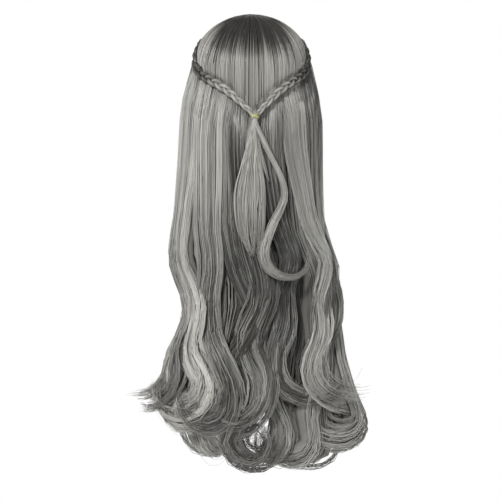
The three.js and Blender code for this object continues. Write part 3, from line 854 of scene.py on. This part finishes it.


# Painted shade on the roots where they tuck under the braids.
long_hair = hair_material(
    "long_hair", dark=(0.011, 0.0107, 0.010), light=(0.54, 0.532, 0.50), ends=(0.26, 0.24, 0.225),
    painted_root_shade=(0.0, 0.05, 0.02, 0.75), shine=0.34)
for fall_name, locks, each, node in FALLS:
    rows = lock_rows(locks)
    lock_count = len(locks)
    rows["phase"] = chance.uniform(0, 2 * np.pi, lock_count)
    count = lock_count * each
    lock = np.repeat(np.arange(lock_count), each)
    wisp = lock * WISPS + chance.integers(0, WISPS, count)
    wisp_count = lock_count * WISPS
    outer = np.arcsin(spaced(OUTER_WISPS))
    inner = np.pi + np.arcsin(spaced(WISPS - OUTER_WISPS))
    wisp_angle = np.tile(np.concatenate([outer, inner]), lock_count)
    wisp_angle = wisp_angle + chance.normal(0, WISP_TURN, wisp_count)
    wisp_ring = chance.normal(0, WISP_RING, wisp_count)
    wisp_tone = chance.normal(0, WISP_TONE, wisp_count)
    wisp_curl = 1 + chance.normal(0, WISP_CURL, wisp_count)
    wisp_radius = 1 + chance.normal(0, WISP_RADIUS, wisp_count)
    wisp_lean = chance.normal(0, WISP_LEAN, wisp_count)
    wisp_drop = chance.normal(0, WISP_DROP, wisp_count)
    wisp_phase = chance.normal(0, WISP_PHASE, wisp_count)
    wisp_length = chance.uniform(WISP_SHORTEST, 1.0, wisp_count)
    loose = np.where(chance.uniform(0, 1, count) < LOOSE_SHARE, LOOSE_STRAY, 1.0)
    each_row = picked(rows, lock)
    for name, stray in TURN_STRAY:
        wisp_wander = chance.normal(0, WISP_WANDER * stray, wisp_count)
        own_wander = chance.normal(0, 1, count) * stray * loose
        each_row[name] = each_row[name] + wisp_wander[wisp] + own_wander
    own_curl = 1 + chance.normal(0, OWN_CURL, count) * loose
    each_row["curl"] = each_row["curl"] * wisp_curl[wisp] * own_curl
    own_radius = 1 + chance.normal(0, OWN_RADIUS, count) * loose
    each_row["radius"] = each_row["radius"] * wisp_radius[wisp] * own_radius
    each_row["radius"] = np.maximum(each_row["radius"], TIGHTEST_CURL)
    each_row["lean"] = each_row["lean"] + wisp_lean[wisp]
    own_drop = chance.normal(0, OWN_DROP, count) * loose
    each_row["flick_z"] = each_row["flick_z"] + wisp_drop[wisp] + own_drop
    each_row["phase"] = each_row["phase"] + wisp_phase[wisp] + chance.normal(0, OWN_PHASE, count)
    step = np.linspace(0, 1, FALL_RINGS)
    step = (step + np.sin(step * np.pi / 2)) / 2
    length = wisp_length[wisp] * chance.uniform(OWN_SHORTEST, 1.0, count)
    share = step[None, :] * length[:, None]
    own_angle = wisp_angle[wisp] + chance.uniform(-1, 1, count) * OWN_TURN
    gather = WISP_GATHER * ease((share - GATHER_FROM) / GATHER_OVER)
    angle = own_angle[:, None] * (1 - gather) + wisp_angle[wisp][:, None] * gather
    own_ring = SKIN_RING + chance.normal(0, OWN_RING, count)[:, None]
    ring = own_ring + wisp_ring[wisp][:, None] * ease(share / RING_OVER)
    lines, facing = in_lock(each_row, share, angle, ring)
    tone = tone_and_shade_of(each_row, share) + wisp_tone[wisp][:, None]
    taper = np.interp(step, TAPER_ALONG, TAPER)
    size = taper[None, :] * FIBRE * chance.uniform(*OWN_SPREAD, (count, 1)) / np.sqrt(loose)[:, None]
    lengths = strands(kept_in(lines), facing, size, columns_about(tone))
    # Each lock's heart is a solid fill inside it, darkened as painted shade seen between the strands.
    heart_step = np.linspace(HEART_START, HEART_END, HEART_RINGS)
    around = np.linspace(0, 2 * np.pi, HEART_SIDES, endpoint=False)
    heart_rows = picked(rows, np.repeat(np.arange(lock_count), HEART_SIDES))
    heart_share = heart_step[None, :] * np.ones((lock_count * HEART_SIDES, 1))
    heart_angle = np.tile(around, lock_count)[:, None] * np.ones((1, HEART_RINGS))
    heart_ring = HEART_SWELL + chance.normal(0, HEART_STRAY, (lock_count * HEART_SIDES, 1))
    heart_ring = HEART_ROOT + heart_ring * ease(heart_share / HEART_SWELL_OVER)
    heart_fade = ease((heart_share - HEART_FADE_FROM) / (HEART_END - HEART_FADE_FROM))
    heart_ring = heart_ring * (1 - HEART_FADE * heart_fade)
    heart_points = in_lock(heart_rows, heart_share, heart_angle, heart_ring)[0]
    heart_points = heart_points.reshape(lock_count, HEART_SIDES, HEART_RINGS, 3)
    heart_points = heart_points.transpose(0, 2, 1, 3)
    heart_tone_and_shade = columns_about(HEART_PAINTED_SHADE * tone_and_shade_of(heart_rows, heart_share))
    heart_tone_and_shade = heart_tone_and_shade.reshape(lock_count, HEART_SIDES, HEART_RINGS).transpose(0, 2, 1)
    hearts = wound(heart_points[:, :, ::-1], heart_tone_and_shade[:, :, ::-1])
    fall = hair_piece(fall_name, [lengths, hearts], long_hair)
    belongs(fall, "long_hair", node)

# Braids: a thin three-strand plait from each temple round to the centre back.
# The same fibre, plaited by hand and held flat against the head.
# The strands run almost straight for the last stretch and go into the tie.
BRAID_SWAY = 0.0042
BRAID_END = 3.8
BRAID_END_SIZE = 0.62
BRAID_PROUD = 0.0015
BRAID_SIDE_SINK = 0.0035
BRAID_LIFT = CROWN_LIFT + BRAID_PROUD
BRAID_HALF_WIDE = 0.0024
BRAID_HALF_THICK = 0.0020
BRAID_FIBRES = 54
BRAID_TURNS = 6
BRAID_STEPS = 12
BRAID_PHASE = 1 / 12
BRAID_FINE = 600
BRAID_TURN_FROM = 0.5
BRAID_SINK_FROM = 50.0
BRAID_SINK_OVER = 40.0
BRAID_HAIR_FROM = 80.0
BRAID_HAIR_OVER = 75.0
BRAID_OUT_FROM = 0.85
BRAID_OUT_OVER = 0.15
BRAID_DRAWN_FROM = 0.86
BRAID_DRAWN_OVER = 0.14
BRAID_THIN_FROM = 0.7
BRAID_THIN_OVER = 0.3
BRAID_FACE = (1, 0.85, 0)
BRAID_FACE_UP = (0, 0, 0.03)
BRAID_INNER = 0.72
BRAID_SPREAD = (0.7, 1.2)
# Painted light and shade on the plait: each strand darker where it dips under the others, lighter on its
# top and darker at its sides.
BRAID_CROSSING_SHADE_MIDDLE = 0.68
BRAID_CROSSING_SHADE_SWING = 0.32
BRAID_SIDE_PAINTED_SHADE = 0.10
BRAID_TOP_PAINTED_LIGHT = 0.75
BRAID_HEART_WIDE = 0.8
BRAID_HEART_SINK = 0.4
TIE_TURN = 3.0
TIE_OUT = 0.0076
BRAID_TIE_SIDE = 0.002
BRAID_TIE_RISE = 0.001

tie_middle = curtain_point(np.array([[TIE_TURN]]), np.array([[TIE_OUT]]), np.array([[TIE_Z]]))[0, 0]


def braid_middle(side, share):
    """The middle of a braid from temple to tie at shares of its length, with its size there."""
    fine = np.linspace(0, 1, BRAID_FINE)
    round_head = TEMPLE_TURN + (BRAID_END - TEMPLE_TURN) * fine
    turn = side * round_head + TIE_TURN * ease((fine - BRAID_TURN_FROM) / (1 - BRAID_TURN_FROM))
    z = braid_line(round_head)
    lift = BRAID_LIFT - BRAID_SIDE_SINK * ease((round_head - BRAID_SINK_FROM) / BRAID_SINK_OVER)
    on_head = head_point(turn, reach_of(z, lift), lift)
    raised = ease((fine - BRAID_OUT_FROM) / BRAID_OUT_OVER)
    out = BRAID_PROUD + (TIE_OUT - BRAID_PROUD) * raised
    on_hair = curtain_point(turn[None, :], out[None, :], z[None, :])[0]
    blend = ease((BRAID_HAIR_FROM - round_head) / BRAID_HAIR_OVER)[:, None]
    line = on_head * (1 - blend) + on_hair * blend
    drawn = ease((fine - BRAID_DRAWN_FROM) / BRAID_DRAWN_OVER)[:, None]
    in_tie = tie_middle + np.array([side * BRAID_TIE_SIDE, 0, BRAID_TIE_RISE])
    line = line * (1 - drawn) + in_tie * drawn
    travel = np.concatenate([[0], np.cumsum(np.linalg.norm(np.diff(line, axis=0), axis=1))])
    at = share * travel[-1]
    size = 1 - (1 - BRAID_END_SIZE) * ease((share - BRAID_THIN_FROM) / BRAID_THIN_OVER)
    return np.stack([np.interp(at, travel, line[:, i]) for i in range(3)], axis=1), size


# Painted shade darkens each braid from the temple most of the way to the tie.
braid_hair = hair_material(
    "braid_hair", dark=(0.06, 0.058, 0.053), light=(0.44, 0.43, 0.40), ends=(0.36, 0.35, 0.33),
    painted_root_shade=(0.66, 0.88, 0.12, 0.20), shine=0.5)
braid_share = np.linspace(0, 1, BRAID_TURNS * BRAID_STEPS + 1)
for braid_name, side in (("braid_left", -1), ("braid_right", 1)):
    middle, size = braid_middle(side, braid_share)
    along = unit(np.gradient(middle, axis=0))
    from_head = unit(middle * np.array(BRAID_FACE) + np.array(BRAID_FACE_UP))
    across = unit(np.cross(from_head, along))
    off = np.cross(along, across)
    bundles = []
    for strand in range(3):
        phase = 2 * np.pi * (braid_share * BRAID_TURNS + BRAID_PHASE + strand / 3)
        sway = size * BRAID_SWAY * np.sin(phase)
        rise = size * BRAID_SWAY / 2 * np.sin(2 * phase)
        line = middle + across * sway[:, None] + off * rise[:, None]
        way = unit(np.gradient(line, axis=0))
        wide_way = unit(np.cross(off, way))
        thick_way = np.cross(way, wide_way)
        angle = chance.uniform(0, 2 * np.pi, BRAID_FIBRES)[:, None, None]
        radius = chance.uniform(BRAID_INNER, 1.0, BRAID_FIBRES)[:, None, None]
        swell = size[None, :, None]
        across_strand = wide_way[None] * np.cos(angle) * BRAID_HALF_WIDE
        shift = across_strand + thick_way[None] * np.sin(angle) * BRAID_HALF_THICK
        lines = line[None] + shift * radius * swell
        fibre_size = FIBRE * chance.uniform(*BRAID_SPREAD, (BRAID_FIBRES, 1)) * np.ones((1, len(line)))
        # Painted shade where a strand dips under the others, and painted light along its top.
        over = BRAID_CROSSING_SHADE_MIDDLE + BRAID_CROSSING_SHADE_SWING * np.sin(2 * phase)[None, :]
        ridge = np.maximum(np.sin(angle[:, :, 0]), 0)
        fibre_tone_and_shade = (BRAID_SIDE_PAINTED_SHADE + BRAID_TOP_PAINTED_LIGHT * ridge) * over
        bundles.append(strands(lines, unit(shift), fibre_size, columns_about(fibre_tone_and_shade)))
        # The dark heart under each strand is painted shade between the fibres.
        heart_size = (BRAID_HALF_WIDE * BRAID_HEART_WIDE * size)[None, :]
        heart_line = (line - thick_way * BRAID_HALF_THICK * BRAID_HEART_SINK)[None]
        bundles.append(strands(heart_line, thick_way[None], heart_size, core_shade_columns(1)))
    braid = hair_piece(braid_name + "_fibres", bundles, braid_hair)
    belongs(braid, "braid_hair", *(f"{braid_name}_strand_{n}" for n in (1, 2, 3)))

# Tie: a small yellow-green elastic wound round the braid ends and the root of the tail.
# Moulded rubber cord, three turns drawn tight.
# The turns cross a little, so they lie at slight angles to each other.
TIE_RING = 0.0053
TIE_CORD = 0.0013
TIE_WINDS = (
    # height above the middle, tilt and lean in degrees
    (0.0003, 6, 34),
    (-0.0002, -6, -34),
    (0.0000, 4, 8),
)
winds = []
for height, tilt, lean in TIE_WINDS:
    bpy.ops.mesh.primitive_torus_add(
        location=(tie_middle[0], tie_middle[1], tie_middle[2] + height),
        rotation=(math.radians(tilt), math.radians(lean), 0),
        major_segments=48, minor_segments=14, major_radius=TIE_RING, minor_radius=TIE_CORD)
    winds.append(bpy.context.object)
bpy.ops.object.select_all(action="DESELECT")
for wind in winds:
    wind.select_set(True)
bpy.context.view_layer.objects.active = winds[0]
bpy.ops.object.join()
bpy.ops.object.transform_apply(location=True, rotation=True, scale=True)
bpy.ops.object.shade_smooth()
tie = bpy.context.object
tie.name = "tie_elastic"
elastic = bpy.data.materials.new("tie_elastic")
elastic.use_nodes = True
elastic_tree = elastic.node_tree
elastic_shader = elastic_tree.nodes["Principled BSDF"]
elastic_shader.inputs["Roughness"].default_value = 0.55
elastic_place = elastic_tree.nodes.new("ShaderNodeTexCoord")
elastic_grain = elastic_tree.nodes.new("ShaderNodeTexNoise")
elastic_grain.inputs["Scale"].default_value = 500.0
elastic_ramp = elastic_tree.nodes.new("ShaderNodeValToRGB")
elastic_ramp.color_ramp.elements[0].color = (0.23, 0.23, 0.105, 1)
elastic_ramp.color_ramp.elements[1].color = (0.42, 0.42, 0.235, 1)
elastic_tree.links.new(elastic_place.outputs["Object"], elastic_grain.inputs["Vector"])
elastic_tree.links.new(elastic_grain.outputs["Fac"], elastic_ramp.inputs["Fac"])
elastic_tree.links.new(elastic_ramp.outputs["Color"], elastic_shader.inputs["Base Color"])
tie.data.materials.clear()
tie.data.materials.append(elastic)
belongs(tie, "tie", "hair_tie")

# Tail: the ends of both braids hanging on below the tie as loose waved locks.
# The same fibre, let out of the plait.
# The right-hand lock swings round into a hook at its end.
TAIL_STOPS = (-0.176, -0.248, -0.294, -0.326)
TAIL_LOCKS = (
    # waist, belly, hip, flick, curl, radius, wide, thick, share of full length, tone
    (0.5, -4, -3.5, -1, 50, 0.016, 0.025, 0.009, 1.0, 0.62),
    (3.5, 6, 6, 3.5, -50, 0.016, 0.026, 0.008, 1.0, 0.62),
    (10, 27, 17, 10, 170, 0.035, 0.012, 0.008, 1.0, 0.48),
    (5, 17, 24, 26, 10, 0.020, 0.005, 0.003, 0.5, 0.60),
)
TAIL_WISPS = 4
TAIL_EACH = 40
TAIL_RINGS = 26
TAIL_NECK = 0.0032
# How much each tail lock darkens towards its end: painted shade.
TAIL_END_PAINTED_SHADE = 0.34
TAIL_WANDER = (0.2, 0.5, 0.7, 0.8)
TAIL_STRAY = 0.35
TAIL_TONE_STRAY = 0.20
TAIL_CURL_STRAY = 0.12
TAIL_RADIUS_STRAY = 0.04
TAIL_SHORTEST = 0.84
TAIL_PROUD = 0.001
TAIL_OPEN_FROM = 0.08
TAIL_OPEN_OVER = 0.50
TAIL_CLOSE = 0.8
TAIL_CLOSE_FROM = 0.72
TAIL_CLOSE_OVER = 0.28
TAIL_WISP_SPREAD = 0.75
TAIL_OWN_SPREAD = 0.3
TAIL_SPREAD = (0.7, 1.3)
TAIL_END_SHADE_FROM = 0.45
TAIL_END_SHADE_OVER = 0.45
TAIL_TAPER_ALONG = (0, 0.75, 1)
TAIL_TAPER = (1, 1, 0.25)
TIE_HALF_DEPTH = 0.008

tail_bundles = []
for lock in TAIL_LOCKS:
    count = TAIL_WISPS * TAIL_EACH
    *lock_turns, lock_curl, lock_radius, wide, thick, reach, tone = lock
    place = np.repeat(spaced(TAIL_WISPS), TAIL_EACH)
    stops = np.repeat([lock_turns], count, axis=0).astype(float)
    wander = chance.normal(0, 1, (TAIL_WISPS, 4)) * np.array(TAIL_WANDER)
    wander = np.repeat(wander, TAIL_EACH, axis=0)
    stops = stops + wander + chance.normal(0, TAIL_STRAY, (count, 4))
    full = np.ones((count, 1))
    heights = full * np.array([[TIE_Z + TIE_HALF_DEPTH, TIE_Z - TIE_HALF_DEPTH, *TAIL_STOPS]])
    wisp_drop = np.repeat(chance.normal(0, WISP_DROP, TAIL_WISPS), TAIL_EACH)
    heights[:, -1] += wisp_drop + chance.normal(0, OWN_DROP, count)
    turns = np.concatenate([TIE_TURN * full, TIE_TURN * full, stops], axis=1)
    lift = thick / 2 + TAIL_PROUD
    outs = np.concatenate([TIE_OUT * full, TIE_OUT * full, lift * np.ones((count, 4))], axis=1)
    curl = lock_curl * np.repeat(1 + chance.normal(0, TAIL_CURL_STRAY, TAIL_WISPS), TAIL_EACH)
    radius = lock_radius * np.repeat(1 + chance.normal(0, TAIL_RADIUS_STRAY, TAIL_WISPS), TAIL_EACH)
    length = chance.uniform(TAIL_SHORTEST, 1.0, count)[:, None]
    share = np.linspace(0, reach, TAIL_RINGS)[None, :] * length
    lines, across, off = hang(heights, turns, outs, curl, radius, np.zeros(count), share)
    opened = ease((share - TAIL_OPEN_FROM) / TAIL_OPEN_OVER)
    closed = 1 - TAIL_CLOSE * ease((share / reach - TAIL_CLOSE_FROM) / TAIL_CLOSE_OVER)
    round_neck = chance.uniform(0, 2 * np.pi, count)
    neck_side = np.sqrt(chance.uniform(0, 1, count)) * TAIL_NECK
    in_neck = (np.cos(round_neck) * neck_side)[:, None]
    deep_neck = (np.sin(round_neck) * neck_side)[:, None]
    own_place = chance.uniform(-1, 1, count) * wide / 2 * TAIL_OWN_SPREAD
    in_wisp = (place * wide / 2 * TAIL_WISP_SPREAD + own_place)[:, None]
    deep_wisp = (chance.uniform(-1, 1, count) * thick / 2)[:, None]
    shift = in_neck * (1 - opened) + in_wisp * opened * closed
    push = deep_neck * (1 - opened) + deep_wisp * opened * closed
    lines = lines + across * shift[..., None] + off * push[..., None]
    taper = np.interp(np.linspace(0, 1, TAIL_RINGS), TAIL_TAPER_ALONG, TAIL_TAPER)
    size = taper[None, :] * FIBRE * chance.uniform(*TAIL_SPREAD, (count, 1))
    # Painted shade darkens each lock towards its end.
    end_shade = TAIL_END_PAINTED_SHADE * ease((share / reach - TAIL_END_SHADE_FROM) / TAIL_END_SHADE_OVER)
    own_tone = tone + chance.normal(0, TAIL_TONE_STRAY, (count, 1)) - end_shade
    tail_bundles.append(strands(lines, off, size, columns_about(own_tone)))
# Painted shade on the roots inside the tie.
tail_hair = hair_material(
    "tail_hair", dark=(0.18, 0.175, 0.16), light=(0.44, 0.43, 0.405), ends=(0.36, 0.35, 0.33),
    painted_root_shade=(0.02, 0.10, 0.04, 0.6), shine=0.42)
tail = hair_piece("tail_lengths", tail_bundles, tail_hair)
belongs(tail, "tail_hair", "tail")
